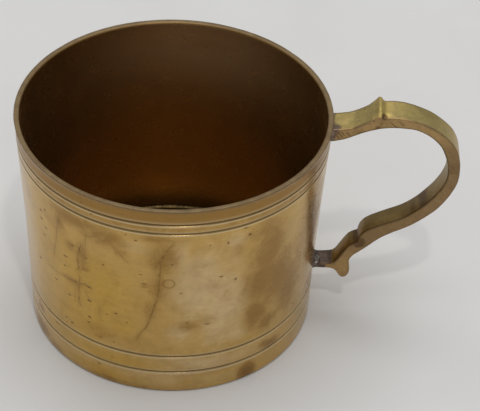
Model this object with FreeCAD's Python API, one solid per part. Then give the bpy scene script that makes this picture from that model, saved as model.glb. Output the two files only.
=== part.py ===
"""Straight-sided brass drinking mug with a cast scroll handle, in millimetres.

The frame's origin is the centre of the ring that the mug stands on. +Z is up the mug's axis,
and the handle stands out along +X.

The mug is six separate pieces:
  body_wall            turned wall, with a flared lip and two pairs of turned lines
  base_disc            flat disc set a little way up inside the foot
  base_solder_ring     solder that seals the disc to the wall, inside and underneath
  handle               cast strap handle with a thumb spur, a break in its scroll and a tail
  upper_handle_solder  solder around the handle's upper root
  lower_handle_solder  solder around the handle's lower tab
"""

import FreeCAD
import Part

import os

Vector = FreeCAD.Vector

# Mug: driving dimensions
MUG_HEIGHT = 77.5
LIP_RADIUS = 50.0
LIP_EDGE_ROUND = 0.3
LIP_INNER_ROUND = 0.8
LIP_FLARE = 1.9
BAND_RADIUS = 49.55
SHOULDER_RADIUS = 49.3
FOOT_RADIUS = 46.5
STANDING_RADIUS = 46.0
WAIST_HOLLOW = 0.27
WALL = 1.2
FOOT_INNER_RADIUS = 44.3
FOOT_ROUND = 1.0

# Turned lines: height of each line's centre above the table, and their section
LINE_HEIGHTS = (8.8, 15.6, 68.3, 71.9)
LINE_WIDTH = 0.9
LINE_DEPTH = 0.4

# Base
BASE_RECESS = 1.0
BASE_THICKNESS = 1.3
BASE_SOLDER_LEG = 1.3
UNDER_SOLDER_LEG = 0.8

# Handle: half its width at the height of the lip, and how much narrower it is per mm below that
HANDLE_HALF_WIDTH = 4.55
HANDLE_TAPER = 0.0197
HANDLE_TOP = 90.0
HANDLE_REACH = 100.0
HANDLE_BURIED_X = 44.0
SPUR_TIP = (64.1, 83.45)
BREAK_NOTCH = (60.7, 29.4)

# Handle solder: how far it spreads on the wall and how far it runs out along the handle
UPPER_SOLDER = {"spread": 1.0, "run_out": 1.6, "low": 71.3, "high": 75.9}
LOWER_SOLDER = {"spread": 0.9, "run_out": 2.0, "low": 18.0, "high": 19.8}

XZ_NORMAL = Vector(0, 1, 0)
AXIS = Vector(0, 0, 1)
ORIGIN = Vector(0, 0, 0)


def at(x, z):
    """A point in the XZ plane."""
    return Vector(x, 0, z)


def line(start, end):
    return Part.LineSegment(at(*start), at(*end)).toShape()


def arc(start, through, end):
    return Part.Arc(at(*start), at(*through), at(*end)).toShape()


def curve(*points):
    """A smooth curve through the points."""
    spline = Part.BSplineCurve()
    spline.interpolate([at(*point) for point in points])
    return spline.toShape()


def revolve(edges):
    """The closed outline of edges in the XZ plane, turned once round the mug's axis."""
    face = Part.Face(Part.Wire(Part.__sortEdges__(edges)))
    return face.revolve(ORIGIN, AXIS, 360)


def wall_radius(z):
    """The wall's outer radius at height z: a gentle hollow between the two pairs of lines."""
    foot_line, shoulder_line = LINE_HEIGHTS[1], LINE_HEIGHTS[2]
    if z >= LINE_HEIGHTS[3]:
        return BAND_RADIUS
    if z >= shoulder_line:
        return SHOULDER_RADIUS + (BAND_RADIUS - SHOULDER_RADIUS) * (z - shoulder_line) / (
            LINE_HEIGHTS[3] - shoulder_line
        )
    if z <= foot_line:
        return STANDING_RADIUS + (FOOT_RADIUS - STANDING_RADIUS) * z / foot_line
    share = (z - foot_line) / (shoulder_line - foot_line)
    straight = FOOT_RADIUS + (SHOULDER_RADIUS - FOOT_RADIUS) * share
    return straight - 4 * WAIST_HOLLOW * share * (1 - share)


def outer_edges(with_lines=True):
    """The wall's outer outline from the foot's rounded edge up to the underside of the lip."""
    low = (STANDING_RADIUS, FOOT_ROUND)
    edges = []
    here = low
    half = LINE_WIDTH / 2
    for z in LINE_HEIGHTS:
        radius = wall_radius(z)
        below = (wall_radius(z - half), z - half)
        above = (wall_radius(z + half), z + half)
        middle = (here[1] + below[1]) / 2
        edges.append(arc(here, (wall_radius(middle), middle), below)
                     if z == LINE_HEIGHTS[2] else line(here, below))
        edges.append(arc(below, (radius - LINE_DEPTH, z), above)
                     if with_lines else line(below, above))
        here = above
    edges.append(line(here, (BAND_RADIUS, MUG_HEIGHT - LIP_EDGE_ROUND - LIP_FLARE)))
    return edges


def body_wall():
    edge_low = MUG_HEIGHT - LIP_EDGE_ROUND
    inner_low = MUG_HEIGHT - LIP_INNER_ROUND
    inner_lip = SHOULDER_RADIUS - WALL
    inner_flat = inner_lip + LIP_INNER_ROUND
    inner_foot = FOOT_INNER_RADIUS
    foot_line, shoulder_line = LINE_HEIGHTS[1], LINE_HEIGHTS[2]
    middle = (foot_line + shoulder_line) / 2
    edges = outer_edges()
    edges += [
        curve((BAND_RADIUS, edge_low - LIP_FLARE), (BAND_RADIUS + 0.1, edge_low - LIP_FLARE / 2),
              (LIP_RADIUS, edge_low)),
        arc((LIP_RADIUS, edge_low),
            (LIP_RADIUS - 0.293 * LIP_EDGE_ROUND, MUG_HEIGHT - 0.293 * LIP_EDGE_ROUND),
            (LIP_RADIUS - LIP_EDGE_ROUND, MUG_HEIGHT)),
        line((LIP_RADIUS - LIP_EDGE_ROUND, MUG_HEIGHT), (inner_flat, MUG_HEIGHT)),
        arc((inner_flat, MUG_HEIGHT),
            (inner_lip + 0.293 * LIP_INNER_ROUND, MUG_HEIGHT - 0.293 * LIP_INNER_ROUND),
            (inner_lip, inner_low)),
        line((inner_lip, inner_low), (inner_lip, shoulder_line)),
        arc((inner_lip, shoulder_line), (wall_radius(middle) - WALL, middle),
            (inner_foot, foot_line)),
        line((inner_foot, foot_line), (inner_foot, 0)),
        line((inner_foot, 0), (STANDING_RADIUS - FOOT_ROUND, 0)),
        arc((STANDING_RADIUS - FOOT_ROUND, 0),
            (STANDING_RADIUS - 0.293 * FOOT_ROUND, 0.293 * FOOT_ROUND),
            (STANDING_RADIUS, FOOT_ROUND)),
    ]
    return revolve(edges)


def base_disc():
    return Part.makeCylinder(FOOT_INNER_RADIUS, BASE_THICKNESS, Vector(0, 0, BASE_RECESS))


def solder_fillet(radius, z, leg, up):
    """A ring in the corner between the wall and the disc, with a sloping face."""
    outer, inner, tall = (radius, z), (radius - leg, z), (radius, z + up * leg)
    return revolve([line(outer, inner), line(inner, tall), line(tall, outer)])


def base_solder_ring():
    """The fillet above the disc and the smaller one that shows underneath it."""
    top = solder_fillet(FOOT_INNER_RADIUS, BASE_RECESS + BASE_THICKNESS, BASE_SOLDER_LEG, 1)
    under = solder_fillet(FOOT_INNER_RADIUS, BASE_RECESS, UNDER_SOLDER_LEG, -1)
    return Part.makeCompound([top, under])


def wall_envelope():
    """The wall's outside as a solid, with no turned lines, for trimming what joins it."""
    top = MUG_HEIGHT + 20
    edges = outer_edges(with_lines=False)
    edges += [
        line((BAND_RADIUS, MUG_HEIGHT - LIP_EDGE_ROUND - LIP_FLARE), (BAND_RADIUS, top)),
        line((BAND_RADIUS, top), (0, top)),
        line((0, top), (0, 0)),
        line((0, 0), (STANDING_RADIUS, 0)),
        line((STANDING_RADIUS, 0), (STANDING_RADIUS, FOOT_ROUND)),
    ]
    return revolve(edges)


def half_width(z):
    return HANDLE_HALF_WIDTH + HANDLE_TAPER * (z - MUG_HEIGHT)


def handle_outline():
    """The handle's side view, from its upper root round to the lower tab and back inside."""
    buried = HANDLE_BURIED_X
    upper_top, upper_low = (buried, 75.9), (buried, 71.1)
    tab_top, tab_low = (buried, 19.5), (buried, 18.0)
    return [
        curve(upper_top, (50.5, 75.9), (56.2, 77.0), (60.6, 79.5), (63.3, 82.7)),
        arc((63.3, 82.7), SPUR_TIP, (64.9, 82.8)),
        curve((64.9, 82.8), (65.25, 81.9), (66.2, 81.4)),
        curve((66.2, 81.4), (71.9, 81.1), (79.2, 78.7), (85.5, 74.2), (89.65, 68.3), (90.85, 60.3),
              (89.1, 52.3), (84.1, 44.2), (76.1, 37.15), (69.6, 33.6), (65.3, 29.6), (59.7, 24.2),
              (58.1, 21.0)),
        line((58.1, 21.0), (58.5, 16.6)),
        arc((58.5, 16.6), (56.6, 14.1), (54.7, 15.7)),
        curve((54.7, 15.7), (53.7, 17.2), (51.8, 17.95)),
        curve((51.8, 17.95), (49.0, 17.8), tab_low),
        line(tab_low, tab_top),
        curve(tab_top, (49.5, 19.75), (52.4, 20.2), (54.5, 22.2), (57.1, 26.6), BREAK_NOTCH),
        curve(BREAK_NOTCH, (61.4, 32.9), (64.4, 35.9), (70.4, 38.8), (76.5, 42.3), (81.9, 47.8),
              (86.0, 54.9), (87.0, 61.2), (85.2, 68.2), (80.9, 74.0), (75.4, 77.0), (68.6, 77.5),
              (61.2, 75.8), (55.0, 72.8), upper_low),
        line(upper_low, upper_top),
    ]


def handle_blank():
    """The side view at its full width, with the sides tapering towards the lower tab."""
    face = Part.Face(Part.Wire(handle_outline()))
    slab = face.extrude(XZ_NORMAL * 20)
    slab.translate(XZ_NORMAL * -10)
    low, high = half_width(0), half_width(HANDLE_TOP)
    corners = [Vector(0, -low, 0), Vector(0, low, 0), Vector(0, high, HANDLE_TOP),
               Vector(0, -high, HANDLE_TOP), Vector(0, -low, 0)]
    taper = Part.Face(Part.makePolygon(corners)).extrude(Vector(HANDLE_REACH, 0, 0))
    return slab.common(taper)


def handle(blank, envelope):
    return blank.cut(envelope)


def solder_collar(blank, envelope, sizes):
    """A sloping collar around one end of the handle, widest where it meets the wall."""
    middle = (sizes["low"] + sizes["high"]) / 2
    wall_x = wall_radius(middle)
    inside_x, outside_x = wall_x - 1.5, wall_x + sizes["run_out"]
    slope = sizes["spread"] / sizes["run_out"]

    def section(x, spread):
        width = half_width(middle) + spread
        low, high = sizes["low"] - spread, sizes["high"] + spread
        corners = [Vector(x, -width, low), Vector(x, width, low),
                   Vector(x, width, high), Vector(x, -width, high)]
        return Part.makePolygon(corners + corners[:1])

    collar = Part.makeLoft(
        [section(inside_x, sizes["spread"] + 1.5 * slope), section(outside_x, 0.05)], True, True)
    return collar.cut(blank).cut(envelope)


def save(name, shape):
    solids = [solid for solid in shape.Solids if solid.Volume > 0.05]
    kept = solids[0] if len(solids) == 1 else Part.makeCompound(solids)
    kept.exportStep(os.path.join("parts", name + ".step"))
    print(name, "solids", len(solids), "valid", kept.isValid(), "volume mm3", round(kept.Volume, 1))


def main():
    os.makedirs("parts", exist_ok=True)
    blank, envelope = handle_blank(), wall_envelope()
    save("body_wall", body_wall())
    save("base_disc", base_disc())
    save("base_solder_ring", base_solder_ring())
    save("handle", handle(blank, envelope))
    save("upper_handle_solder", solder_collar(blank, envelope, UPPER_SOLDER))
    save("lower_handle_solder", solder_collar(blank, envelope, LOWER_SOLDER))


main()
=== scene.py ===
"""The looks of a turned brass mug with a cast scroll handle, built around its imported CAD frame."""

import math

import bpy
import numpy as np
from mathutils import Matrix, Vector, noise


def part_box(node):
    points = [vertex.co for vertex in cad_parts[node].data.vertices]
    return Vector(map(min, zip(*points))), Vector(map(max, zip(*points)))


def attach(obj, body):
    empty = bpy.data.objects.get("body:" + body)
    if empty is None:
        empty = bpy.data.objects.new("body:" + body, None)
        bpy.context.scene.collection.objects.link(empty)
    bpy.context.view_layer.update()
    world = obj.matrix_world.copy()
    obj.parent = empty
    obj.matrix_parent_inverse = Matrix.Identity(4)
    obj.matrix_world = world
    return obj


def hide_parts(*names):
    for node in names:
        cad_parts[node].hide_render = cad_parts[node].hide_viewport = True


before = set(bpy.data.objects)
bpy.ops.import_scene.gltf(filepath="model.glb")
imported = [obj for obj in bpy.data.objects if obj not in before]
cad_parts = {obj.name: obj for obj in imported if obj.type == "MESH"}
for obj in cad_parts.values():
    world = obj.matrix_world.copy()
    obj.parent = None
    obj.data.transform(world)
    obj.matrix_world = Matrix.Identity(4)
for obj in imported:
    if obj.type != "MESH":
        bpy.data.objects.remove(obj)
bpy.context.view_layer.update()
MM = 0.001

# ---------------------------------------------------------------- sizes, in millimetres
LIP_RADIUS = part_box("body_wall")[1].x / MM
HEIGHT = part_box("body_wall")[1].z / MM
LIP_EDGE_ROUND = 0.3
LIP_INNER_ROUND = 0.8
LIP_FLARE = 1.9
BAND_RADIUS = 49.55
SHOULDER_RADIUS = 49.3
FOOT_RADIUS = 46.5
STANDING_RADIUS = 46.0
FOOT_INNER_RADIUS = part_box("base_disc")[1].x / MM
FOOT_ROUND = 1.0
WAIST_HOLLOW = 0.27
WALL = 1.2
BASE_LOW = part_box("base_disc")[0].z / MM
BASE_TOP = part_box("base_disc")[1].z / MM
LINE_HEIGHTS = (8.8, 15.6, 68.3, 71.9)
LINE_HALF = 0.5
LINE_DEPTH = 0.42
GROOVE_STEPS = (-1.3, -1.1, -1.0, -0.92, -0.8, -0.65, -0.35, 0, 0.35, 0.65, 0.8, 0.92, 1.0, 1.1, 1.3)
OUTSIDE_ROWS = 84
INSIDE_ROWS = 40
HANDLE_HALF_WIDTH = 4.53
HANDLE_TAPER = 0.0197
SPUR_X = 64.1
SPUR_REACH = 2.0
SPUR_WORN_NEAR = 1.9
SPUR_WORN_FAR = 0.5
HOLLOW_OF_STRAP = 0.25
STRAP_CORNER = 0.26
SOLDER_CORNER = 0.42
SOLDER_SUNK = 0.45
DROP_RING_AT = (-88.6, 47.6)
DROP_RING_RADIUS = 1.75
MEAN_RADIUS = 48
AROUND = 448

# ---------------------------------------------------------------- camera, in metres
CAMERA_PLACE = (0.0218, -0.5303, 0.4773)
CAMERA_FORWARD = (0, 0.7716, -0.6361)
CAMERA_RIGHT = (0.99912, 0.02666, 0.03234)
CAMERA_LENS_MM = 159.4


# ---------------------------------------------------------------- small tools
def wall_radius(z):
    """The wall's outer radius at height z, with a gentle hollow between the pairs of lines."""
    z = np.asarray(z, float)
    low, high = LINE_HEIGHTS[1], LINE_HEIGHTS[2]
    share = np.clip((z - low) / (high - low), 0, 1)
    middle = FOOT_RADIUS + (SHOULDER_RADIUS - FOOT_RADIUS) * share
    middle = middle - 4 * WAIST_HOLLOW * share * (1 - share)
    foot = STANDING_RADIUS + (FOOT_RADIUS - STANDING_RADIUS) * z / low
    rise = np.clip((z - high) / (LINE_HEIGHTS[3] - high), 0, 1)
    top = SHOULDER_RADIUS + (BAND_RADIUS - SHOULDER_RADIUS) * rise
    return np.where(z < low, foot, np.where(z > high, top, middle))


def inner_radius(z):
    """The wall's inner radius: nearly straight, so that the wall is thicker towards the foot."""
    z = np.asarray(z, float)
    low, high = LINE_HEIGHTS[1], LINE_HEIGHTS[2]
    share = np.clip((z - low) / (high - low), 0, 1)
    middle = FOOT_INNER_RADIUS + (SHOULDER_RADIUS - WALL - FOOT_INNER_RADIUS) * share
    return np.where(z < low, FOOT_INNER_RADIUS, middle + 0.2 * share * (1 - share))


def field(points, size, seed, octaves=3):
    """Smooth noise at each point, about -1 to 1, with features of that size in mm."""
    shift = Vector((17.3 * seed, 5.1 * seed, 9.7 * seed))
    return np.array([noise.fractal(Vector(p) / size + shift, 0.6, 2.0, octaves) for p in points])


def smoothstep(x, low, high):
    t = np.clip((x - low) / (high - low), 0, 1)
    return t * t * (3 - 2 * t)


def spline(rows, steps):
    """A smooth line of values through the rows, with that many steps between two of them."""
    rows = np.asarray(rows, float)
    padded = np.vstack([2 * rows[0] - rows[1], rows, 2 * rows[-1] - rows[-2]])
    out = []
    for a, b, c, d in zip(padded, padded[1:], padded[2:], padded[3:]):
        for k in range(steps):
            t = k / steps
            out.append(0.5 * (2 * b + (c - a) * t + (2 * a - 5 * b + 4 * c - d) * t ** 2
                              + (3 * b - a - 3 * c + d) * t ** 3))
    out.append(rows[-1])
    return np.array(out)


def grid_mesh(name, points, closed_rows):
    """A mesh of quads over points[row, column], in mm. The last column joins the first one.
    With closed_rows the last row joins the first too, and without it both ends are capped."""
    rows, columns = points.shape[:2]
    index = np.arange(rows * columns).reshape(rows, columns)
    following = np.roll(index, -1, axis=1)
    last = rows if closed_rows else rows - 1
    up = np.roll(index, -1, axis=0)[:last]
    up_following = np.roll(following, -1, axis=0)[:last]
    quads = np.stack([index[:last], following[:last], up_following, up], axis=-1).reshape(-1, 4)
    faces = quads.tolist()
    if not closed_rows:
        faces.append(index[0][::-1].tolist())
        faces.append(index[-1].tolist())
    mesh = bpy.data.meshes.new(name)
    mesh.from_pydata((points.reshape(-1, 3) * MM).tolist(), [], faces)
    mesh.update()
    mesh.polygons.foreach_set("use_smooth", [True] * len(mesh.polygons))
    piece = bpy.data.objects.new(name, mesh)
    bpy.context.scene.collection.objects.link(piece)
    return piece


def store(piece, name, values):
    """Keeps one number per vertex on the mesh for its material to read."""
    layer = piece.data.attributes.new(name, "FLOAT", "POINT")
    layer.data.foreach_set("value", np.asarray(values, np.float32).ravel())


def settle(piece, material, slot, *nodes):
    """The piece's material, the body it rides on and the CAD nodes it stands for."""
    piece.data.materials.append(material)
    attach(piece, "root")
    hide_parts(*nodes)
    return piece


# ---------------------------------------------------------------- material tools
class Look:
    """A node material in the making. Each method adds a node and gives back its output."""

    def __init__(self, name):
        self.material = bpy.data.materials.new(name)
        self.material.use_nodes = True
        self.tree = self.material.node_tree
        self.tree.nodes.clear()
        self.here = self.add("ShaderNodeTexCoord").outputs["Object"]

    def add(self, kind, sockets=None, **settings):
        made = self.tree.nodes.new(kind)
        for key, value in settings.items():
            setattr(made, key, value)
        for key, value in (sockets or {}).items():
            if isinstance(value, bpy.types.NodeSocket):
                self.tree.links.new(value, made.inputs[key])
            else:
                made.inputs[key].default_value = value
        return made

    def read(self, name):
        return self.add("ShaderNodeAttribute", attribute_name=name).outputs["Fac"]

    def maths(self, kind, a, b=0.0):
        return self.add("ShaderNodeMath", {0: a, 1: b}, operation=kind).outputs[0]

    def times(self, a, b):
        return self.maths("MULTIPLY", a, b)

    def plus(self, a, b):
        return self.maths("ADD", a, b)

    def most(self, *values):
        top = values[0]
        for value in values[1:]:
            top = self.maths("MAXIMUM", top, value)
        return top

    def stretch(self, x, y, z):
        return self.add("ShaderNodeVectorMath", {0: self.here, 1: (x, y, z)},
                        operation="MULTIPLY").outputs[0]

    def noise(self, size_mm, detail=3.0, rough=0.55, distortion=0.0, along=None):
        """Noise from 0 to 1 with features of that size. along stretches it, one number per axis."""
        where = self.stretch(*along) if along else self.here
        return self.add("ShaderNodeTexNoise", {
            "Vector": where, "Scale": 1.0 / (size_mm * MM), "Detail": detail,
            "Roughness": rough, "Distortion": distortion}).outputs["Fac"]

    def ramp(self, value, low, high, to_low=0.0, to_high=1.0):
        return self.add("ShaderNodeMapRange", {
            "Value": value, "From Min": low, "From Max": high, "To Min": to_low,
            "To Max": to_high}, interpolation_type="SMOOTHSTEP").outputs["Result"]

    def mix(self, share, first, second):
        made = self.add("ShaderNodeMix", data_type="RGBA")
        for key, value in ((0, share), (6, first), (7, second)):
            if isinstance(value, bpy.types.NodeSocket):
                self.tree.links.new(value, made.inputs[key])
            else:
                made.inputs[key].default_value = value if key == 0 else (*value, 1.0)
        return made.outputs[2]

    def hatch(self, size_mm, turn, along):
        """Noise stretched along a direction in the XZ plane, for file strokes on the handle's side."""
        turned = self.add("ShaderNodeVectorRotate", {"Vector": self.here, "Angle": turn},
                          rotation_type="Y_AXIS").outputs[0]
        where = self.add("ShaderNodeVectorMath", {0: turned, 1: along},
                         operation="MULTIPLY").outputs[0]
        return self.add("ShaderNodeTexNoise", {
            "Vector": where, "Scale": 1.0 / (size_mm * MM), "Detail": 3.0,
            "Roughness": 0.6}).outputs["Fac"]

    def stroke(self, start, end, half_width):
        """1 along a straight scratch between two (x, z) points in mm, fading to 0 beside it."""
        length = math.dist(start, end)
        along = ((end[0] - start[0]) / length, 0.0, (end[1] - start[1]) / length)
        across = (-along[2], 0.0, along[0])
        off = self.add("ShaderNodeVectorMath", {
            0: self.here, 1: (start[0] * MM, 0.0, start[1] * MM)}, operation="SUBTRACT").outputs[0]
        run, side = (self.add("ShaderNodeVectorMath", {0: off, 1: way},
                              operation="DOT_PRODUCT").outputs["Value"] for way in (along, across))
        middle = self.maths("ABSOLUTE", self.plus(run, -length * MM / 2))
        ends = self.ramp(middle, length * MM / 2, length * MM / 2 - 0.5 * MM)
        return self.times(ends, self.ramp(self.maths("ABSOLUTE", side), half_width * MM, 0.0))

    def scale(self, tone, amount):
        """The colour made lighter or darker by a number."""
        return self.add("ShaderNodeVectorMath", {0: tone, "Scale": amount},
                        operation="SCALE").outputs[0]

    def bump(self, height, depth_mm, under=None):
        sockets = {"Height": height, "Distance": depth_mm * MM, "Strength": 1.0}
        if under is not None:
            sockets["Normal"] = under
        return self.add("ShaderNodeBump", sockets).outputs["Normal"]

    def finish(self, colour, roughness, normal=None, metallic=1.0):
        sockets = {"Base Color": colour, "Roughness": roughness, "Metallic": metallic}
        if normal is not None:
            sockets["Normal"] = normal
        shader = self.add("ShaderNodeBsdfPrincipled", sockets)
        self.add("ShaderNodeOutputMaterial", {"Surface": shader.outputs[0]})
        return self.material


# ---------------------------------------------------------------- marks on the wall
# Each stroke runs through points given as azimuth in degrees (0 at the handle, -90 at the front)
# and height in mm.
UPRIGHT_STROKES = [
    ([(-86.6, 65), (-88.6, 62.5), (-89.8, 60.5), (-91.2, 57), (-91.8, 52), (-92.2, 46), (-92.8, 41),
      (-94.0, 36.5), (-95.2, 33), (-96.8, 28.5), (-99.0, 25.5), (-100.8, 22)], 0.75),
    ([(-88.6, 62), (-90.4, 60.2), (-92.0, 57.5), (-93.6, 54.5), (-93.2, 52)], 0.4),
    ([(-122.6, 55.5), (-123.4, 53), (-124.6, 50), (-124.6, 47), (-123.8, 44)], 0.9),
    ([(-124.2, 42.5), (-124.0, 40), (-124.8, 36.5), (-125.2, 33), (-124.8, 29)], 0.7),
    ([(-120.2, 60), (-120.6, 56), (-121.4, 51), (-121.2, 48.5)], 0.45),
    ([(-132.2, 63), (-133.6, 58.5), (-134.8, 54), (-136.2, 49), (-137.6, 43)], 0.55),
    ([(-126.6, 37), (-127.0, 33), (-127.2, 30)], 0.4),
]
# Strokes that cross them, read the other way: height at each azimuth.
LEVEL_STROKES = [
    ([(-126.0, 44.0), (-123.4, 45.0), (-121.0, 46.0), (-119.4, 46.4)], 0.75),
    ([(-129.0, 38.0), (-125.0, 38.6), (-122.0, 39.3), (-119.0, 38.6)], 0.8),
    ([(-122.2, 36.2), (-119.4, 32.8)], 0.6),
    ([(-143.0, 37.0), (-137.0, 37.0), (-132.0, 37.6), (-128.0, 38.0)], 0.4),
    ([(-121.0, 60.2), (-117.6, 61.4), (-115.2, 62.2), (-112.6, 61.0), (-110.6, 63.6)], 0.5),
    ([(-109.8, 60.4), (-107.2, 58.4), (-104.6, 55.6), (-103.2, 54.6)], 0.55),
    ([(-134.0, 62.6), (-130.5, 59.0), (-128.5, 57.4)], 0.3),
]


def strokes_on(azimuth, z, strokes, level):
    """(signed distance in mm to the nearest stroke, how strong that stroke is) at each vertex."""
    nearest = np.full(z.shape, 9.0)
    strength = np.zeros(z.shape)
    for path, power in strokes:
        path = np.array(path, float)
        if level:
            path = path[np.argsort(path[:, 0])]
            run, reach = azimuth, path[:, 0]
            away = z - np.interp(azimuth, path[:, 0], path[:, 1])
            fade = 0.9
        else:
            path = path[np.argsort(path[:, 1])]
            run, reach = z, path[:, 1]
            line = np.interp(z, path[:, 1], path[:, 0])
            away = np.radians(azimuth - line) * wall_radius(z)
            fade = 2.0
        inside = (smoothstep(run, reach[0] - fade, reach[0] + fade)
                  * (1 - smoothstep(run, reach[-1] - fade, reach[-1] + fade)))
        closer = (np.abs(away) < np.abs(nearest)) & (inside > 0)
        nearest = np.where(closer, away, nearest)
        strength = np.where(closer, inside * power * (np.abs(away) < 3.0), strength)
    return nearest, strength


def patch(azimuth, z, at, size, power=1.0):
    """A soft oval patch on the wall, centred at (azimuth, height), with half sizes in mm."""
    turn = (azimuth - at[0] + 180) % 360 - 180
    across = np.radians(turn) * MEAN_RADIUS / size[0]
    return power * np.exp(-(across ** 2 + ((z - at[1]) / size[1]) ** 2))


def patches(azimuth, z, rows):
    """The strongest of many patches, each (azimuth, height, half width, half height, power)."""
    return np.maximum.reduce([patch(azimuth, z, row[:2], row[2:4], row[4]) for row in rows])


# Clouds of tarnish, one of them a painted reflection of the handle, and cleaner gold and pale areas, each
# as patches() reads them.
BROWN_PATCHES = [
    (-49, 53, 8, 11, 0.85), (-52, 41, 7, 9, 1.0), (-44, 40, 9, 13, 0.9), (-53.5, 28, 4.5, 7, 0.95),
    (-37, 33, 9, 11, 0.8), (-30, 44, 6, 15, 0.55), (-52, 62, 8, 5, 0.6), (-47, 22, 5, 4, 0.8),
    (-44, 10.5, 3.5, 2.0, 1.1), (-48, 12, 2.5, 1.5, 0.8), (-55.5, 2.8, 3.0, 3.6, 1.9),
    (-125, 65, 12, 3.5, 0.8), (-113, 63, 8, 4.5, 0.75), (-133, 60, 3, 6, 0.55),
    (-122, 51, 3, 7, 0.55), (-128, 53, 3, 3, 0.5), (-90.5, 58, 5, 8, 0.75), (-92.5, 47, 3.5, 8, 0.6),
    (-95, 35, 3.5, 7, 0.5), (-92, 66, 9, 1.8, 0.6), (-81, 29, 5, 2.6, 0.55), (-74, 31, 4, 2.2, 0.5),
    (-106, 58, 3, 2.5, 0.5), (-97.5, 46, 2, 1.4, 0.55), (-116, 21, 9, 3.5, 0.4),
    (-127, 38, 5, 1.6, 0.55), (-153, 3.5, 7, 3, 0.9), (-141, 2, 6, 1.8, 0.6), (-110, 1.5, 22, 1.2, 0.6),
    (-152, 12, 3, 2, 0.7), (-100, 21, 8, 3, 0.35), (-66, 40, 3, 5, 0.3), (-62, 59, 3, 4, 0.35),
    # The tall patch at -20 degrees is a painted reflection: the handle's dark reflection on the wall, in
    # tarnish colour.
    (-20, 50, 9, 26, 0.7), (-14, 18, 7, 6, 0.7), (20, 55, 12, 16, 0.5), (38, 24, 16, 11, 0.7),
    (78, 58, 14, 9, 0.6), (100, 34, 24, 13, 0.8), (148, 60, 16, 8, 0.7), (165, 20, 18, 9, 0.5),
]
GOLD_PATCHES = [
    (-119, 38, 17, 16, 1.05), (-124, 24, 14, 10, 0.9), (-107, 27, 8, 8, 0.75), (-104, 45, 6, 10, 0.6),
    (-132, 50, 8, 13, 0.65), (-146, 36, 11, 40, 0.55), (-112, 11.5, 22, 3.2, 0.85), (-118, 4, 22, 3, 0.85),
    (-70, 4, 20, 3, 0.4), (150, 40, 25, 22, 0.9), (60, 14, 18, 9, 0.6),
]
PALE_PATCHES = [
    (-132, 4, 26, 5, 0.7), (-97, 5, 20, 4, 0.65), (-118, 11, 24, 4, 0.4),
    (-155, 36, 7, 42, 0.55), (-77, 45, 9, 17, 0.95), (-68, 36, 9, 19, 1.0), (-83, 26, 6, 6, 0.6),
    (-84, 58, 5, 8, 0.6), (-64, 63, 5, 4, 0.6), (-76, 12, 22, 3.5, 0.95), (-72, 4, 18, 3, 0.6),
    (-101, 62, 5, 4, 0.45), (-62, 22, 6, 5, 0.7), (-40, 55, 5, 9, 0.3), (60, 52, 22, 16, 0.8),
    (-175, 30, 12, 30, 0.5),
]
# Single patches, as their centre and half sizes: pale oxide with a painted sheen at the top of the far
# inside wall, and specked areas outside.
OXIDE_SHEEN_BLOOM = ((80, 70), (32, 17))
SPECKED_FRONT = ((-128, 38), (26, 34))
SPECKED_BACK = ((110, 40), (40, 30))


# Small pits as (azimuth, height, half length along the turning, half height), lengths in mm.
PITS = [
    (-144.0, 58.6, 0.9, 0.5), (-141.0, 60.4, 0.5, 0.7), (-144.0, 55.2, 1.0, 0.55),
    (-141.6, 52.6, 0.8, 0.35), (-143.2, 49.0, 0.9, 0.4), (-148.6, 35.8, 1.0, 0.4),
    (-130.6, 47.0, 1.0, 0.5), (-131.6, 42.6, 0.6, 0.35), (-120.6, 50.8, 0.7, 0.4),
    (-113.4, 51.0, 0.5, 0.35), (-99.0, 50.6, 0.6, 0.3), (-97.4, 46.8, 1.1, 0.3),
    (-87.4, 55.8, 0.7, 0.4), (-69.2, 48.8, 0.9, 0.4), (-63.6, 46.2, 0.6, 0.6),
    (-58.9, 63.6, 0.8, 0.6), (-60.8, 67.0, 1.0, 0.35), (-67.4, 62.6, 0.4, 0.6),
    (-74.0, 63.0, 0.4, 0.3), (-84.0, 43.6, 0.5, 0.3), (-120.0, 38.8, 1.3, 0.5),
    (-120.2, 32.9, 1.1, 0.55), (-137.4, 33.4, 1.0, 0.45), (-130.0, 30.8, 0.9, 0.45),
    (-109.0, 31.4, 0.7, 0.5), (-112.6, 30.0, 0.6, 0.3), (-104.4, 28.6, 0.5, 0.3),
    (-120.6, 25.6, 0.8, 0.55), (-121.0, 23.2, 0.9, 0.3), (-133.0, 19.6, 1.1, 0.3),
    (-129.6, 18.8, 0.7, 0.5), (-132.8, 17.4, 0.7, 0.35), (-115.6, 18.9, 0.5, 0.35),
    (-153.4, 14.2, 0.8, 0.4), (-139.0, 13.4, 1.3, 0.3), (-154.4, 11.4, 0.9, 0.3),
    (-111.0, 11.6, 0.4, 0.4), (-116.6, 6.6, 0.7, 0.4), (-121.0, 73.9, 0.5, 0.35),
    (-117.0, 70.8, 0.5, 0.45), (-110.0, 18.4, 0.3, 0.3), (-126.6, 53.6, 0.8, 0.4),
    (-81.4, 30.6, 0.6, 0.35), (-73.8, 29.2, 0.9, 0.3), (-100.4, 64.6, 0.6, 0.35),
    (-104.0, 66.4, 0.4, 0.4), (-32.4, 21.2, 0.6, 0.35), (-30.2, 19.6, 0.5, 0.3),
]


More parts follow.
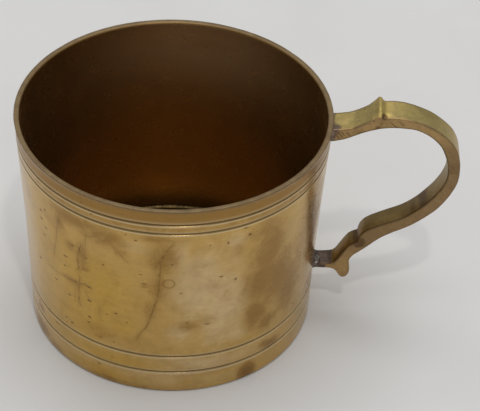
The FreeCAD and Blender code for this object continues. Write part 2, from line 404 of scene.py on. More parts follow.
def wall_marks(look):
    """Small worn pits as 0 to 1, and the thin brown ring that a drop left."""
    pits = 0.0
    wobble = look.times(look.plus(look.noise(0.9, 3.0), -0.5), 1.7)
    for azimuth, z, long, tall in PITS:
        turn = math.radians(azimuth)
        r = float(wall_radius(z)) * MM
        centre = (r * math.cos(turn), r * math.sin(turn), z * MM)
        off = look.add("ShaderNodeVectorMath", {0: look.here, 1: centre},
                       operation="SUBTRACT").outputs[0]
        level, upright = 1 / (long * MM), 1 / (tall * MM)
        share = look.add("ShaderNodeVectorMath", {0: off, 1: (level, level, upright)},
                         operation="MULTIPLY").outputs[0]
        away = look.add("ShaderNodeVectorMath", {0: share}, operation="LENGTH").outputs["Value"]
        pits = look.maths("MAXIMUM", look.ramp(look.plus(away, wobble), 1.3, 0.2), pits)
    turn, z = math.radians(DROP_RING_AT[0]), DROP_RING_AT[1]
    r = float(wall_radius(z)) * MM
    centre = (r * math.cos(turn), r * math.sin(turn), z * MM)
    away = look.add("ShaderNodeVectorMath", {0: look.here, 1: centre},
                    operation="DISTANCE").outputs["Value"]
    off = look.maths("ABSOLUTE", look.plus(away, -DROP_RING_RADIUS * MM))
    ring = look.ramp(look.plus(off, look.times(wobble, 0.22 * MM)), 0.6 * MM, 0.0)
    return pits, ring


# ---------------------------------------------------------------- materials
WARM = (0.56, 0.36, 0.118)
GOLD = (0.555, 0.345, 0.08)
PALE = (0.65, 0.475, 0.255)
BROWN = (0.325, 0.182, 0.052)
UMBER = (0.25, 0.135, 0.042)
STAIN = (0.19, 0.105, 0.036)
INSIDE = (0.56, 0.36, 0.14)


def wall_look():
    look = Look("Turned_Brass")
    cloud = look.noise(15, 4.0, 0.6, 0.8)
    mottle = look.noise(5.0, 6.0, 0.68, 0.6)
    fine = look.noise(1.5, 4.0, 0.65)
    streak = look.noise(3.0, 5.0, 0.7, along=(0.22, 0.22, 1.7))
    turning = look.noise(0.55, 3.0, 0.6, along=(0.03, 0.03, 1.0))
    ragged = look.plus(look.times(look.plus(mottle, -0.5), 1.5),
                       look.times(look.plus(fine, -0.5), 0.5))
    soft = look.plus(look.times(look.plus(cloud, -0.5), 0.9),
                     look.times(look.plus(mottle, -0.5), 0.6))

    def area(name, noise_part, low, high):
        """Where an attribute is high, with an uneven edge, and nowhere that it is zero."""
        value = look.read(name)
        kept = look.ramp(value, 0.02, 0.25)
        return look.times(look.ramp(look.plus(value, noise_part), low, high), kept)

    tone = look.mix(look.times(area("pale", soft, 0.05, 0.95), 0.9), WARM, PALE)
    tone = look.mix(look.times(area("gold", soft, 0.05, 0.95), 0.95), tone, GOLD)
    tone = look.mix(look.times(look.ramp(cloud, 0.45, 0.75), 0.35), tone, BROWN)
    brown = area("brown", ragged, 0.05, 0.85)
    tone = look.mix(look.times(brown, 0.9), tone, BROWN)
    dark = look.times(look.ramp(look.plus(look.read("brown"), ragged), 0.85, 1.7), 0.65)
    tone = look.mix(dark, tone, UMBER)
    shade = look.plus(1.0, look.times(look.plus(mottle, -0.5), 0.44))
    shade = look.plus(shade, look.times(look.plus(streak, -0.5), 0.26))
    shade = look.plus(shade, look.times(look.plus(fine, -0.5), 0.27))
    shade = look.plus(shade, look.times(look.plus(turning, -0.5), 0.10))
    tone = look.scale(tone, shade)

    wobble = look.times(look.plus(look.noise(2.4, 4.0, 0.7), -0.5), 1.3)
    breaks = look.ramp(look.noise(2.2, 3.0, 0.6), 0.34, 0.60, 0.25, 1.0)
    lines = 0.0
    halo = 0.0
    for name in ("upright", "level"):
        away = look.maths("ABSOLUTE", look.plus(look.read(name), wobble))
        power = look.read(name + "_power")
        thin = look.times(look.times(look.ramp(away, 0.36, 0.0), power), breaks)
        lines = look.maths("MAXIMUM", thin, lines)
        halo = look.maths("MAXIMUM", look.times(look.ramp(away, 1.7, 0.1), power), halo)
    pits, ring = wall_marks(look)
    specks = look.times(look.ramp(look.noise(0.9, 3.0, 0.6), 0.66, 0.76), look.read("specked"))
    tone = look.mix(look.times(halo, 0.45), tone, BROWN)
    tone = look.mix(look.times(ring, 0.55), tone, UMBER)
    pits = look.times(pits, look.maths("SUBTRACT", 1.0, look.read("inside")))
    marks = look.most(look.times(lines, 0.9), look.times(pits, 0.8), look.times(specks, 0.45))
    tone = look.mix(marks, tone, STAIN)
    tone = look.mix(look.times(look.read("groove"), 0.92), tone, (0.10, 0.06, 0.025))
    # Lighter brass under each groove and weaker above it: partly a rubbed lip, partly a painted glint.
    tone = look.mix(look.times(look.read("worn_and_glint"), 0.75), tone, (0.74, 0.60, 0.38))

    lip = look.times(look.ramp(look.plus(look.read("rim"), look.times(soft, 0.6)), 0.1, 0.9), 0.85)
    lip_tone = look.mix(look.ramp(mottle, 0.35, 0.65), (0.16, 0.11, 0.054), (0.235, 0.168, 0.082))
    tone = look.mix(lip, tone, look.scale(lip_tone, look.plus(0.8, look.times(fine, 0.35))))

    deep = look.mix(look.ramp(cloud, 0.35, 0.7), INSIDE, (0.47, 0.30, 0.12))
    # Painted shade: the inside darker and browner towards the bottom.
    deep = look.mix(look.times(look.read("depth"), 0.8), deep, (0.385, 0.215, 0.06))
    # Paler, less metallic oxide with a painted sheen at the top of the far inside wall.
    deep = look.mix(look.read("oxide_and_sheen"), deep, (0.58, 0.38, 0.18))
    deep = look.scale(deep, look.plus(1.0, look.times(look.plus(streak, -0.5), 0.30)))
    inside = look.ramp(look.plus(look.read("inside"), look.times(look.plus(mottle, -0.5), 0.3)),
                       0.35, 0.65)
    tone = look.mix(inside, tone, deep)

    outside = look.maths("SUBTRACT", 1.0, inside)
    calm = look.plus(1.0, look.times(inside, -0.75))
    rough = look.plus(0.21, look.times(look.times(look.plus(mottle, -0.5), calm), 0.16))
    rough = look.plus(rough, look.times(look.times(look.plus(fine, -0.5), outside), 0.12))
    rough = look.plus(rough, look.times(look.times(brown, outside), 0.09))
    rough = look.plus(rough, look.times(marks, 0.3))
    rough = look.plus(rough, look.times(inside, 0.06))
    rough = look.plus(rough, look.times(look.read("worn_and_glint"), -0.10))
    rough = look.plus(rough, look.times(lip, 0.28))
    metal = look.plus(1.0, look.times(inside, look.plus(look.times(look.read("oxide_and_sheen"), -0.2), -0.03)))
    metal = look.plus(metal, look.times(lip, -0.6))
    normal = look.bump(look.times(mottle, calm), 0.030)
    normal = look.bump(look.times(turning, calm), 0.004, normal)
    normal = look.bump(look.times(fine, calm), 0.008, normal)
    normal = look.bump(look.times(pits, -1.0), 0.05, normal)
    return look.finish(tone, rough, normal, metal)


# Deep file strokes left on the handle's side, near its upper root, as two (x, z) ends in mm.
FILE_NICKS = [
    ((51.0, 75.4), (53.1, 72.9)), ((50.6, 74.2), (52.0, 72.4)), ((53.8, 75.3), (55.3, 73.6)),
    ((52.2, 75.4), (53.6, 73.6)), ((67.4, 79.6), (69.6, 77.6)), ((70.0, 80.2), (71.8, 78.4)),
]


def base_look():
    """Brown disc, with painted shade making it near black towards its edge, in the corner with the wall.
    """
    look = Look("Base_Brass")
    cloud = look.noise(14, 4.0, 0.6, 0.5)
    mottle = look.noise(3.5, 5.0, 0.65)
    flat = look.stretch(1.0, 1.0, 0.0)
    out = look.add("ShaderNodeVectorMath", {0: flat}, operation="LENGTH").outputs["Value"]
    # Painted shade in the corner where the disc meets the wall.
    corner_shade = look.ramp(look.plus(out, look.times(look.plus(cloud, -0.5), 6 * MM)), 33 * MM, 41 * MM)
    tone = look.mix(look.ramp(cloud, 0.3, 0.7), (0.27, 0.155, 0.055), (0.33, 0.20, 0.075))
    tone = look.mix(look.times(look.ramp(mottle, 0.45, 0.75), 0.5), tone, (0.19, 0.11, 0.045))
    tone = look.mix(corner_shade, tone, (0.045, 0.026, 0.008))
    rough = look.plus(0.24, look.times(look.plus(mottle, -0.5), 0.2))
    rough = look.plus(rough, look.times(corner_shade, 0.15))
    return look.finish(tone, rough, look.bump(mottle, 0.03), 0.9)


def handle_look():
    look = Look("Cast_Brass")
    cloud = look.noise(9, 4.0, 0.6, 0.4)
    mottle = look.noise(2.6, 5.0, 0.65, 0.3)
    grain = look.noise(0.8, 4.0, 0.6)
    filed = look.hatch(0.5, 0.75, (1.0, 0.3, 0.07))
    side = look.read("side")
    under = look.read("under")
    uneven = look.times(look.plus(mottle, -0.5), 1.0)
    tone = look.mix(look.ramp(cloud, 0.3, 0.7), (0.52, 0.40, 0.135), (0.56, 0.43, 0.165))
    # Painted shade: the middle of the curl darker than the top of the strap.
    tone = look.mix(look.times(look.read("middle_shade"), 0.8), tone, (0.44, 0.31, 0.125))
    # Painted shade: the sides darker than the top, darkest in the middle of the curl.
    tone = look.mix(look.times(side, 0.9), tone, (0.41, 0.26, 0.115))
    tone = look.mix(look.times(look.times(side, look.read("middle_shade")), 0.9), tone, (0.27, 0.175, 0.085))
    # Painted shade: the inner face darkest of all.
    tone = look.mix(look.times(under, 0.85), tone, (0.25, 0.17, 0.062))
    shade = look.plus(1.0, look.times(look.plus(mottle, -0.5), 0.65))
    shade = look.plus(shade, look.times(look.times(look.plus(filed, -0.5), side), 0.42))
    shade = look.plus(shade, look.times(look.plus(grain, -0.5), 0.42))
    tone = look.scale(tone, shade)
    # Dark dirt and flaws, with painted shade in the notch and along the inner face.
    dirt_and_shade = look.ramp(look.plus(look.read("dirt_and_shade"), uneven), 0.35, 0.85)
    tone = look.mix(look.times(dirt_and_shade, 0.85), tone, (0.13, 0.075, 0.035))
    burnt = look.ramp(look.plus(look.read("burnt"), uneven), 0.35, 0.8)
    tone = look.mix(look.times(burnt, 0.85), tone, (0.14, 0.095, 0.085))
    tin = look.ramp(look.plus(look.read("tin"), uneven), 0.35, 0.7)
    tin_tone = look.mix(look.ramp(mottle, 0.4, 0.65), (0.10, 0.07, 0.06), (0.20, 0.16, 0.14))
    tone = look.mix(look.times(tin, 0.92), tone, tin_tone)
    pitted = look.times(look.ramp(look.noise(1.0, 2.0, 0.5), 0.64, 0.74), look.read("pitted"))
    nicks = look.most(*(look.stroke(*ends, 0.2) for ends in FILE_NICKS))
    marks = look.most(look.times(pitted, 0.8), look.times(nicks, 0.85))
    tone = look.mix(marks, tone, (0.12, 0.07, 0.04))
    broken = look.times(look.read("edge"), look.ramp(mottle, 0.35, 0.6))
    tone = look.mix(look.times(broken, 0.6), tone, (0.20, 0.14, 0.08))
    rough = look.plus(0.40, look.times(look.plus(mottle, -0.5), 0.25))
    rough = look.plus(rough, look.times(tin, 0.10))
    rough = look.plus(rough, look.times(marks, 0.2))
    rough = look.plus(rough, look.times(look.read("spur"), 0.22))
    normal = look.bump(mottle, 0.05)
    normal = look.bump(look.times(filed, side), 0.015, normal)
    normal = look.bump(grain, 0.012, normal)
    normal = look.bump(look.times(marks, -1.0), 0.12, normal)
    return look.finish(tone, rough, normal)


def solder_look(name, dark, light):
    look = Look(name)
    cloud = look.noise(1.6, 4.0, 0.6, 0.5)
    grain = look.noise(0.5, 4.0, 0.65)
    tone = look.mix(look.ramp(cloud, 0.38, 0.64), dark, light)
    tone = look.mix(look.times(look.ramp(grain, 0.5, 0.8), 0.5), tone, (0.08, 0.055, 0.045))
    rough = look.plus(0.30, look.times(look.plus(grain, -0.5), 0.3))
    normal = look.bump(cloud, 0.16)
    return look.finish(tone, rough, look.bump(grain, 0.04, normal))


# ---------------------------------------------------------------- wall and base
def wall_profile():
    """(radius, height, how far inside) round the wall's section, starting at the foot."""
    edge_low = HEIGHT - LIP_EDGE_ROUND
    heights = set(np.round(np.linspace(FOOT_ROUND, edge_low - LIP_FLARE, OUTSIDE_ROWS), 3))
    for line in LINE_HEIGHTS:
        heights = {z for z in heights if abs(z - line) > LINE_HALF + 0.3}
        heights |= {round(line + LINE_HALF * k, 3) for k in GROOVE_STEPS}
    rows = []
    for z in sorted(heights):
        cut = sum(max(0.0, 1 - ((z - line) / LINE_HALF) ** 2) ** 1.3 for line in LINE_HEIGHTS)
        rows.append((float(wall_radius(z)) - LINE_DEPTH * cut, z, 0.0))
    for k in range(1, 6):
        t = k / 6
        rows.append((BAND_RADIUS + (LIP_RADIUS - BAND_RADIUS) * t * t,
                     edge_low - LIP_FLARE * (1 - t), 0.0))
    for k in range(6):
        turn = math.pi / 2 * k / 5
        rows.append((LIP_RADIUS - LIP_EDGE_ROUND * (1 - math.cos(turn)),
                     edge_low + LIP_EDGE_ROUND * math.sin(turn), 0.0))
    inner_lip = SHOULDER_RADIUS - WALL
    rows.append((inner_lip + LIP_INNER_ROUND + 0.4, HEIGHT - 0.01, 0.0))
    for k in range(7):
        turn = math.pi / 2 * k / 6
        rows.append((inner_lip + LIP_INNER_ROUND * (1 - math.sin(turn)),
                     HEIGHT - LIP_INNER_ROUND * (1 - math.cos(turn)), float(smoothstep(k, 3, 6))))
    for z in np.linspace(HEIGHT - LIP_INNER_ROUND - 1.0, BASE_LOW - 0.2, INSIDE_ROWS):
        rows.append((float(inner_radius(z)), float(z), 1.0))
    rows.append((FOOT_INNER_RADIUS + 0.05, 0.15, 1.0))
    rows.append((FOOT_INNER_RADIUS + 0.2, 0.0, 0.6))
    for k in range(6):
        turn = math.pi / 2 * (1 - k / 6)
        rows.append((STANDING_RADIUS - FOOT_ROUND * (1 - math.cos(turn)),
                     FOOT_ROUND * (1 - math.sin(turn)), 0.0))
    return np.array(rows)


def make_wall(material):
    rows = wall_profile()
    turn = np.radians(np.arange(AROUND) * 360 / AROUND + 90)
    radius = np.repeat(rows[:, 0:1], AROUND, axis=1)
    height = np.repeat(rows[:, 1:2], AROUND, axis=1)
    inside = np.repeat(rows[:, 2:3], AROUND, axis=1)
    points = np.stack([radius * np.cos(turn), radius * np.sin(turn), height], axis=-1)
    flat = points.reshape(-1, 3)
    swell = 0.045 * field(flat, size=26, seed=1, octaves=2) + (
        0.016 * field(flat, size=7, seed=2, octaves=2))
    wear = np.abs(field(flat, size=9, seed=7, octaves=3)) * 0.10
    swell, wear = swell.reshape(radius.shape), wear.reshape(radius.shape)
    lip = smoothstep(height, HEIGHT - 1.2, HEIGHT - 0.2) * smoothstep(radius, 49.2, 50.0)
    free = smoothstep(height, 1.0, 4.0) * (1 - smoothstep(height, 74.0, 76.0))
    radius = radius + swell * free - 0.03 * (1 - free) * (height > 40) - wear * lip
    height = height - 0.5 * wear * lip
    points = np.stack([radius * np.cos(turn), radius * np.sin(turn), height], axis=-1)
    piece = grid_mesh("Wall", points, True)

    azimuth = (np.degrees(turn) + 180) % 360 - 180
    azimuth = np.repeat(azimuth[None, :], len(rows), axis=0)
    out = inside < 0.5
    for name, strokes, level in (("upright", UPRIGHT_STROKES, False),
                                 ("level", LEVEL_STROKES, True)):
        nearest, power = strokes_on(azimuth, height, strokes, level)
        store(piece, name, nearest)
        store(piece, name + "_power", power * out)
    groove = np.zeros(height.shape)
    worn_and_glint = np.zeros(height.shape)
    for line in LINE_HEIGHTS:
        groove = np.maximum(groove, np.exp(-((height - line - 0.05) / (0.78 * LINE_HALF)) ** 2))
        # Lighter, smoother lips beside each groove, strongest below it: partly rubbed brass, partly a
        # painted glint.
        below = np.exp(-((height - line + 1.2 * LINE_HALF) / 0.17) ** 2)
        above = np.exp(-((height - line - 1.2 * LINE_HALF) / 0.14) ** 2)
        worn_and_glint = np.maximum.reduce([worn_and_glint, below, 0.45 * above])
    store(piece, "groove", groove * out)
    store(piece, "worn_and_glint", worn_and_glint * out)
    store(piece, "inside", inside)
    # Painted shade inside, growing towards the bottom.
    store(piece, "depth", inside * (1 - smoothstep(height, 25, 62)))
    # Paler oxide inside, with a painted sheen at the top of the far wall.
    store(piece, "oxide_and_sheen", inside * np.clip(1.15 * patch(azimuth, height, *OXIDE_SHEEN_BLOOM), 0, 1))
    store(piece, "rim", smoothstep(height, HEIGHT - 0.35, HEIGHT - 0.05) + 0.6 * out
          * smoothstep(height, HEIGHT - 1.2, HEIGHT - 0.3) * smoothstep(radius, 49.3, 49.9))
    store(piece, "brown", patches(azimuth, height, BROWN_PATCHES)
          + 0.65 * smoothstep(height, LINE_HEIGHTS[3], 73.0)
          + 0.45 * smoothstep(height, LINE_HEIGHTS[2], 69.0)
          + 0.5 * smoothstep(height, 76.6, 77.4))
    store(piece, "gold", patches(azimuth, height, GOLD_PATCHES))
    store(piece, "pale", patches(azimuth, height, PALE_PATCHES))
    store(piece, "specked", np.clip(patch(azimuth, height, *SPECKED_FRONT)
          + 0.6 * patch(azimuth, height, *SPECKED_BACK) + 0.25, 0, 1) * out)
    return settle(piece, material, "turned_brass", "body_wall")


def turned_ring(name, section, segments, wander=None):
    """A closed section of (radius, height) turned once round the axis. wander shifts it a little."""
    section = np.array(section, float)
    turn = np.radians(np.arange(segments) * 360 / segments + 90)
    radius = np.repeat(section[:, 0:1], segments, axis=1)
    height = np.repeat(section[:, 1:2], segments, axis=1)
    if wander is not None:
        radius, height = wander(radius, height, turn)
    points = np.stack([radius * np.cos(turn), radius * np.sin(turn), height], axis=-1)
    return grid_mesh(name, points, True)


def make_base(material):
    """The disc, with the faint rings that turning left on both faces, and its centre mark."""
    radii = np.linspace(0.4, FOOT_INNER_RADIUS, 90)
    sag = 0.016 * np.sin(radii * 1.9) * smoothstep(radii, 1, 6) * (1 - smoothstep(radii, 38, 43))
    pip = 0.5 * np.exp(-(radii / 0.9) ** 2)
    top = [(r, BASE_TOP - 0.06 + s - p) for r, s, p in zip(radii, sag, pip)]
    low = [(r, BASE_LOW + 0.06 + s + p) for r, s, p in zip(radii, sag, 0.6 * pip)]
    piece = turned_ring("Base", low + top[::-1], 144)
    return settle(piece, material, "base_brass", "base_disc")


def make_base_solder(material):
    def wander(radius, height, turn):
        shift = 0.18 * np.sin(5 * turn + 1) + 0.12 * np.sin(11 * turn) + 0.08 * np.sin(23 * turn + 2)
        into = (FOOT_INNER_RADIUS + 0.1 - radius)
        return radius - shift * smoothstep(into, 0.2, 1.2), height + 0.5 * shift * (
            height > BASE_TOP + 0.3)

    outer, leg = FOOT_INNER_RADIUS + 0.1, 1.2
    section = [(outer, BASE_TOP - 0.3), (outer - leg, BASE_TOP - 0.3), (outer - leg, BASE_TOP - 0.02)]
    for k in range(1, 6):
        turn = math.pi / 2 * k / 6
        section.append((outer - leg + leg * math.sin(turn) * 0.92,
                        BASE_TOP + leg * (1 - math.cos(turn))))
    section.append((outer, BASE_TOP + leg * 0.96))
    top = turned_ring("Base_Solder", section, 240, wander)
    settle(top, material, "solder", "base_solder_ring")
    section = [(outer, BASE_LOW + 0.2), (outer - 0.78, BASE_LOW + 0.2), (outer - 0.78, BASE_LOW),
               (outer - 0.6, BASE_LOW - 0.14), (outer - 0.35, BASE_LOW - 0.4),
               (outer - 0.2, BASE_LOW - 0.68), (outer, BASE_LOW - 0.76)]
    low = turned_ring("Under_Solder", section, 240, lambda radius, height, turn: (
        radius - 0.5 * (wander(radius, height, turn)[0] - radius) - 0.02, height))
    settle(low, material, "solder", "base_solder_ring")


# ---------------------------------------------------------------- handle
# Stations along the strap, as its outer point (x, z) and its inner point (x, z) in mm.
HANDLE_STATIONS = [
    (48.7, 75.85, 48.7, 71.15), (50.5, 75.87, 50.3, 71.3), (53.2, 76.2, 53.5, 72.3),
    (56.2, 76.95, 56.8, 73.8), (58.6, 78.15, 59.0, 74.95), (60.6, 79.45, 60.8, 75.7),
    (62.1, 81.0, 62.2, 76.25), (63.1, 82.4, 63.1, 76.55), (63.55, 83.05, 63.6, 76.75),
    (64.1, 83.32, 64.1, 76.9), (64.6, 83.1, 64.6, 77.0), (64.95, 82.55, 65.0, 77.1),
    (65.35, 81.9, 65.6, 77.2), (66.3, 81.4, 66.7, 77.35),
    (69.0, 81.35, 69.3, 77.5), (72.2, 81.0, 72.6, 77.35), (75.8, 79.95, 75.6, 76.9),
    (79.3, 78.5, 78.7, 75.55), (82.7, 76.45, 81.2, 73.75), (85.5, 74.05, 83.45, 71.4),
    (87.95, 71.25, 84.9, 68.9), (89.5, 68.2, 86.0, 66.0), (90.45, 64.4, 86.75, 63.1),
    (90.72, 60.3, 87.05, 60.1), (90.35, 56.2, 86.8, 57.0), (89.0, 52.2, 85.6, 53.7),
    (86.95, 48.2, 83.6, 50.2), (84.1, 44.15, 81.05, 46.9), (80.1, 40.3, 77.8, 43.45),
    (76.1, 37.1, 74.1, 40.6), (71.9, 34.7, 69.9, 38.45), (67.8, 31.95, 65.8, 36.4),
    (65.2, 29.55, 62.9, 34.6), (63.9, 28.2, 61.4, 32.7), (62.8, 27.0, 60.7, 30.8),
    (61.9, 26.15, 60.5, 29.6), (61.2, 25.5, 59.5, 29.0), (60.2, 24.65, 57.9, 28.0),
    (59.2, 23.6, 56.5, 26.1), (58.4, 22.2, 55.4, 24.1), (58.15, 20.6, 54.45, 22.4),
    (58.4, 18.8, 53.7, 21.2), (58.5, 17.0, 53.3, 20.85), (58.1, 15.4, 53.15, 20.65),
    (57.4, 14.45, 53.0, 20.5), (56.6, 14.15, 52.85, 20.4), (55.7, 14.5, 52.7, 20.35),
    (55.0, 15.4, 52.5, 20.3), (54.4, 16.5, 52.3, 20.22), (53.4, 17.45, 52.0, 20.15),
    (51.9, 17.95, 51.3, 20.0), (49.4, 17.9, 49.3, 19.8), (45.7, 18.0, 45.7, 19.6),
]


def half_width(z):
    return HANDLE_HALF_WIDTH + HANDLE_TAPER * (z - HEIGHT)


def section_loop(thick, half, corner, across, through):
    """Points round a rounded rectangle, as (distance from the inner face, sideways place)."""
    corner = min(corner, thick * 0.4)
    loop = []
    corners = [(corner, half - corner, -90), (thick - corner, half - corner, 0),
               (thick - corner, corner - half, 90), (corner, corner - half, 180)]
    spans = [through, across, through, across]
    for k, (depth, side, start) in enumerate(corners):
        for step in range(5):
            turn = math.radians(start + 22.5 * step)
            loop.append((depth + corner * math.sin(turn), side + corner * math.cos(turn)))
        after = corners[(k + 1) % 4]
        turn = math.radians(after[2])
        goal = (after[0] + corner * math.sin(turn), after[1] + corner * math.cos(turn))
        here = loop[-1]
        for step in range(1, spans[k]):
            t = step / spans[k]
            loop.append((here[0] + (goal[0] - here[0]) * t, here[1] + (goal[1] - here[1]) * t))
    return np.array(loop)


def handle_sections():
    """The strap's points, row by row, and for each point (depth share, sideways share, distance
    to the nearest corner counted along both faces, depth in mm)."""
    rows, sides = [], []
    for x_out, z_out, x_in, z_in in spline(HANDLE_STATIONS, 8):
        outer, inner = np.array([x_out, z_out]), np.array([x_in, z_in])
        thick = np.linalg.norm(outer - inner)
        half = half_width((z_out + z_in) / 2)
        loop = section_loop(thick, half, STRAP_CORNER, across=14, through=6)
        across = np.clip(loop[:, 1] / half, -1, 1)
        inner_part = 1 - loop[:, 0] / thick
        loop[:, 0] -= (HOLLOW_OF_STRAP * (1 - across ** 2) * inner_part
                       * smoothstep(x_in, 51, 54))
        spur = math.exp(-((x_out - SPUR_X) / SPUR_REACH) ** 2) * (z_out > 60)
        # How far the spur's ridge is worn down at each point of the section.
        worn_and_glint = (SPUR_WORN_NEAR * smoothstep(-across, 0.42, 1.0)
                + SPUR_WORN_FAR * smoothstep(across, 0.75, 1.0))
        loop[:, 0] -= spur * worn_and_glint * loop[:, 0] / thick
        place = inner + (outer - inner) / thick * loop[:, 0:1]
        taper = half_width(place[:, 1]) / half
        rows.append(np.stack([place[:, 0], loop[:, 1] * taper, place[:, 1]], axis=-1))
        corner = np.maximum(np.minimum(loop[:, 0], thick - loop[:, 0]), 0) + (
            half - np.abs(loop[:, 1]))
        sides.append(np.stack([loop[:, 0] / thick, np.abs(loop[:, 1]) / half, corner,
                               loop[:, 0]], -1))
    return np.array(rows)[:, ::-1], np.array(sides)[:, ::-1]


def roughen(piece, place):
    """Pushes the cast surface in and out a little along its normals. Gives the new points."""
    mesh = piece.data
    normals = np.zeros(len(mesh.vertices) * 3)
    mesh.vertices.foreach_get("normal", normals)
    free = smoothstep(place[:, 0], 50, 54)
    push = 0.055 * field(place, size=7, seed=5, octaves=3) + (
        0.03 * field(place, size=2.2, seed=6, octaves=2)) - 0.03
    place = place + normals.reshape(-1, 3) * (push * (0.3 + 0.7 * free))[:, None]
    mesh.vertices.foreach_set("co", (place * MM).ravel())
    mesh.update()
    return place


def mark_handle(piece, place, sides):
    """Where the strap is filed, dirty, burnt, tinned or pitted, and where its sides, inner face, notch and
    middle are painted darker as shade.
    """
    depth, across, corner, depth_mm = (sides[..., k].ravel() for k in range(4))
    x, y, z = place.T
    beside = smoothstep(across, 0.86, 0.97)
    inner_face = 1 - smoothstep(depth, 0.06, 0.2)
    # The sides and the inner face are painted darker as shade in the material.
    store(piece, "side", beside)
    store(piece, "under", inner_face)
    store(piece, "edge", 1 - smoothstep(corner, 0.25, 0.75))

    def near(x_at, z_at, size, y_at=None):
        """1 at that place, fading out over size mm. Without y_at it reaches right across."""
        spread = ((x - x_at) ** 2 + (z - z_at) ** 2) / size ** 2
        if y_at is not None:
            spread = spread + ((y - y_at) / size) ** 2
        return np.exp(-spread)

    nearer = smoothstep(-y, -2.0, 3.5)
    rim = np.exp(-(depth_mm / 0.4) ** 2) * smoothstep(across, 0.75, 0.95) * 0.75
    # Dark dirt and flaws, and painted shade: in the notch of the knuckle, along the edge by the inner
    # face, and on the inner face towards the front.
    store(piece, "dirt_and_shade", np.maximum.reduce([
        rim, near(61.0, 29.6, 2.4) * 1.2, near(57.0, 23.5, 4.2) * inner_face * nearer * 1.1,
        near(80.5, 46.5, 3.6) * inner_face * 0.8, near(77.5, 43.5, 2.5) * inner_face * 0.6,
        near(69.0, 38.0, 6.0) * inner_face * nearer * 0.55,
        near(65.3, 81.0, 1.4, -3.6) * 1.1, near(64.6, 79.2, 1.3, -3.9) * 0.95,
        near(63.6, 77.4, 1.3, -4.4) * 0.9, near(53.5, 19.5, 1.6) * inner_face * 0.6,
        near(89.0, 62.5, 4.2) * beside * 0.62, near(57.5, 75.0, 4.5) * beside * 0.55,
        near(87.0, 70.0, 3.0) * beside * 0.5]))
    store(piece, "burnt", (z > 60) * np.maximum.reduce([
        near(50.2, 75.6, 2.6, -3.4) * 1.1, near(49.6, 73.5, 1.8) * 1.1,
        near(50.0, 75.6, 1.2) * 0.7]))
    # Painted shade on the middle of the curl.
    store(piece, "middle_shade", np.clip(1 - smoothstep(z, 66, 77), 0, 1) * smoothstep(z, 20, 30))
    store(piece, "spur", np.clip(1.4 * near(64.9, 82.0, 2.4), 0, 1))
    store(piece, "tin", (z < 40) * (1 - smoothstep(x, 51.4, 54.0))
          * np.maximum(inner_face, 1 - smoothstep(x, 50.0, 51.5)))
    store(piece, "pitted", np.clip(near(60, 78, 5.5) + 0.7 * near(80, 46, 6)
                                   + 0.5 * near(68, 80, 5), 0, 1))


def make_handle(material):
    points, sides = handle_sections()
    piece = grid_mesh("Handle", points, False)
    place = roughen(piece, points.reshape(-1, 3))
    mark_handle(piece, place, sides)
    return settle(piece, material, "cast_brass", "handle")


def make_handle_solder(name, material, node, outer_z, inner_z, spread, run_out, lump, seed):
    """A hollow-faced collar of solder round the strap where it meets the wall."""
    middle = (outer_z + inner_z) / 2
    loop = section_loop(outer_z - inner_z, half_width(middle), SOLDER_CORNER, across=16, through=8)
    y, z = loop[:, 1], inner_z + loop[:, 0]
    away = np.stack([y * 0, np.roll(z, 1) - np.roll(z, -1), np.roll(y, -1) - np.roll(y, 1)], -1)
    away = away / np.linalg.norm(away, axis=1)[:, None]
    away = away[:, 1:]
    outward = np.sign(np.sum(away * np.stack([y, z - middle], -1), axis=1))
    away = away * outward[:, None]
    ring = np.stack([y, z], -1)
    wander = 1 + 0.45 * field(np.stack([y * 0 + seed, y, z], -1), 2.6, seed, 2)
    rows = []
    for t in [-1] + [k / 11 for k in range(12)]:
        s = max(t, 0.0)
        lumps = field(np.stack([y * 0 + 9 * s, y, z], -1), 1.1, seed + 5, 3)
        out = spread * wander * (1 - s) ** 1.6 + (0.04 if t >= 0 else 0.1)
        out = out + lump * lumps * smoothstep(s, 0.0, 0.2)
        place = ring + away * out[:, None]
        surface = np.sqrt(np.maximum(wall_radius(place[:, 1]) ** 2 - place[:, 0] ** 2, 1))
        x = surface + run_out * wander * s ** 2 - (SOLDER_SUNK if t < 0 else 0.04)
        rows.append(np.stack([x, place[:, 0], place[:, 1]], -1))
    inner = ring - away * 0.25
    surface = np.sqrt(np.maximum(wall_radius(inner[:, 1]) ** 2 - inner[:, 0] ** 2, 1))
    rows.append(np.stack([surface + run_out * 0.6, inner[:, 0], inner[:, 1]], -1))
    rows.append(np.stack([surface - SOLDER_SUNK, inner[:, 0], inner[:, 1]], -1))
    piece = grid_mesh(name, np.array(rows), True)
    return settle(piece, material, "solder", node)


# ---------------------------------------------------------------- floor, light and camera
def make_floor():
    look = Look("Paper_Floor")
    cloud = look.noise(60, 3.0, 0.5)
    fibre = look.noise(1.2, 3.0, 0.6)
    tone = look.mix(look.ramp(cloud, 0.3, 0.7), (0.70, 0.692, 0.68), (0.725, 0.718, 0.709))
    material = look.finish(tone, 0.75, look.bump(fibre, 0.02), metallic=0.0)
    size, bend, rise = 6.0, 2.0, 3.0
    section = [(-size, 0.0), (bend, 0.0)]
    section += [(bend + rise * math.sin(a), rise * (1 - math.cos(a)))
                for a in np.radians(np.arange(6, 91, 6))]
    points = [(x, y, z) for y, z in section for x in (-size, size)]
    faces = [(2 * k, 2 * k + 1, 2 * k + 3, 2 * k + 2) for k in range(len(section) - 1)]
    mesh = bpy.data.meshes.new("Floor")
    mesh.from_pydata(points, [], faces)
    mesh.polygons.foreach_set("use_smooth", [True] * len(mesh.polygons))
    mesh.materials.append(material)
    floor = bpy.data.objects.new("Floor", mesh)
    bpy.context.scene.collection.objects.link(floor)


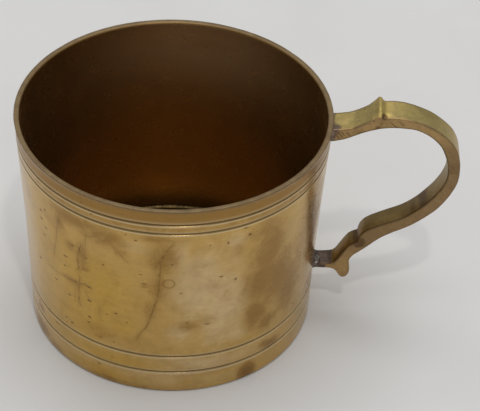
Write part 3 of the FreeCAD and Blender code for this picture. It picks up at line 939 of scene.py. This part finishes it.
def make_light(name, at, size, watts, colour, aim=(0, 0, 0.04)):
    lamp = bpy.data.lights.new(name, "AREA")
    lamp.shape = "RECTANGLE"
    lamp.size, lamp.size_y = size
    lamp.energy = watts
    lamp.color = colour
    holder = bpy.data.objects.new(name, lamp)
    holder.location = at
    holder.rotation_mode = "QUATERNION"
    holder.rotation_quaternion = (Vector(aim) - Vector(at)).to_track_quat("-Z", "Y")
    bpy.context.scene.collection.objects.link(holder)


def make_world():
    world = bpy.data.worlds.new("Studio")
    world.use_nodes = True
    back = world.node_tree.nodes["Background"]
    back.inputs["Color"].default_value = (0.95, 0.97, 1.0, 1)
    back.inputs["Strength"].default_value = 0.42
    bpy.context.scene.world = world


def make_camera():
    """Looks down at the mug by about 39.5 degrees, with its right side slightly raised."""
    forward = Vector(CAMERA_FORWARD).normalized()
    right = Vector(CAMERA_RIGHT).normalized()
    up = right.cross(forward)
    turn = Matrix((right, up, -forward)).transposed()
    lens = bpy.data.cameras.new("Camera")
    lens.lens, lens.sensor_width = CAMERA_LENS_MM, 36.0
    lens.clip_start, lens.clip_end = 0.01, 50
    camera = bpy.data.objects.new("Camera", lens)
    camera.matrix_world = Matrix.Translation(CAMERA_PLACE) @ turn.to_4x4()
    bpy.context.scene.collection.objects.link(camera)
    bpy.context.scene.camera = camera


make_wall(wall_look())
make_base(base_look())
# The solder round the inside corner is near black: painted shade of that corner.
make_base_solder(solder_look("Corner_Shade_Solder", (0.045, 0.03, 0.012), (0.08, 0.055, 0.022)))
make_handle(handle_look())
make_handle_solder("Upper_Solder", solder_look("Burnt_Solder", (0.12, 0.08, 0.065), (0.26, 0.19, 0.14)),
                   "upper_handle_solder", outer_z=75.6, inner_z=71.6, spread=0.7, run_out=1.1,
                   lump=0.10, seed=3)
make_handle_solder("Lower_Solder", solder_look("Tin_Solder", (0.10, 0.075, 0.065), (0.25, 0.21, 0.18)),
                   "lower_handle_solder", outer_z=19.8, inner_z=18.0, spread=0.85, run_out=1.9,
                   lump=0.22, seed=4)
make_floor()
make_world()
make_light("Overhead", at=(0.0, 0.32, 2.2), size=(2.1, 2.1), watts=27, colour=(1.0, 0.995, 0.985))
make_light("Lamp", at=(0.15, -0.75, 1.45), size=(0.06, 0.06), watts=2.6, colour=(1.0, 0.97, 0.93))
make_camera()
bpy.context.scene.view_settings.view_transform = "Standard"
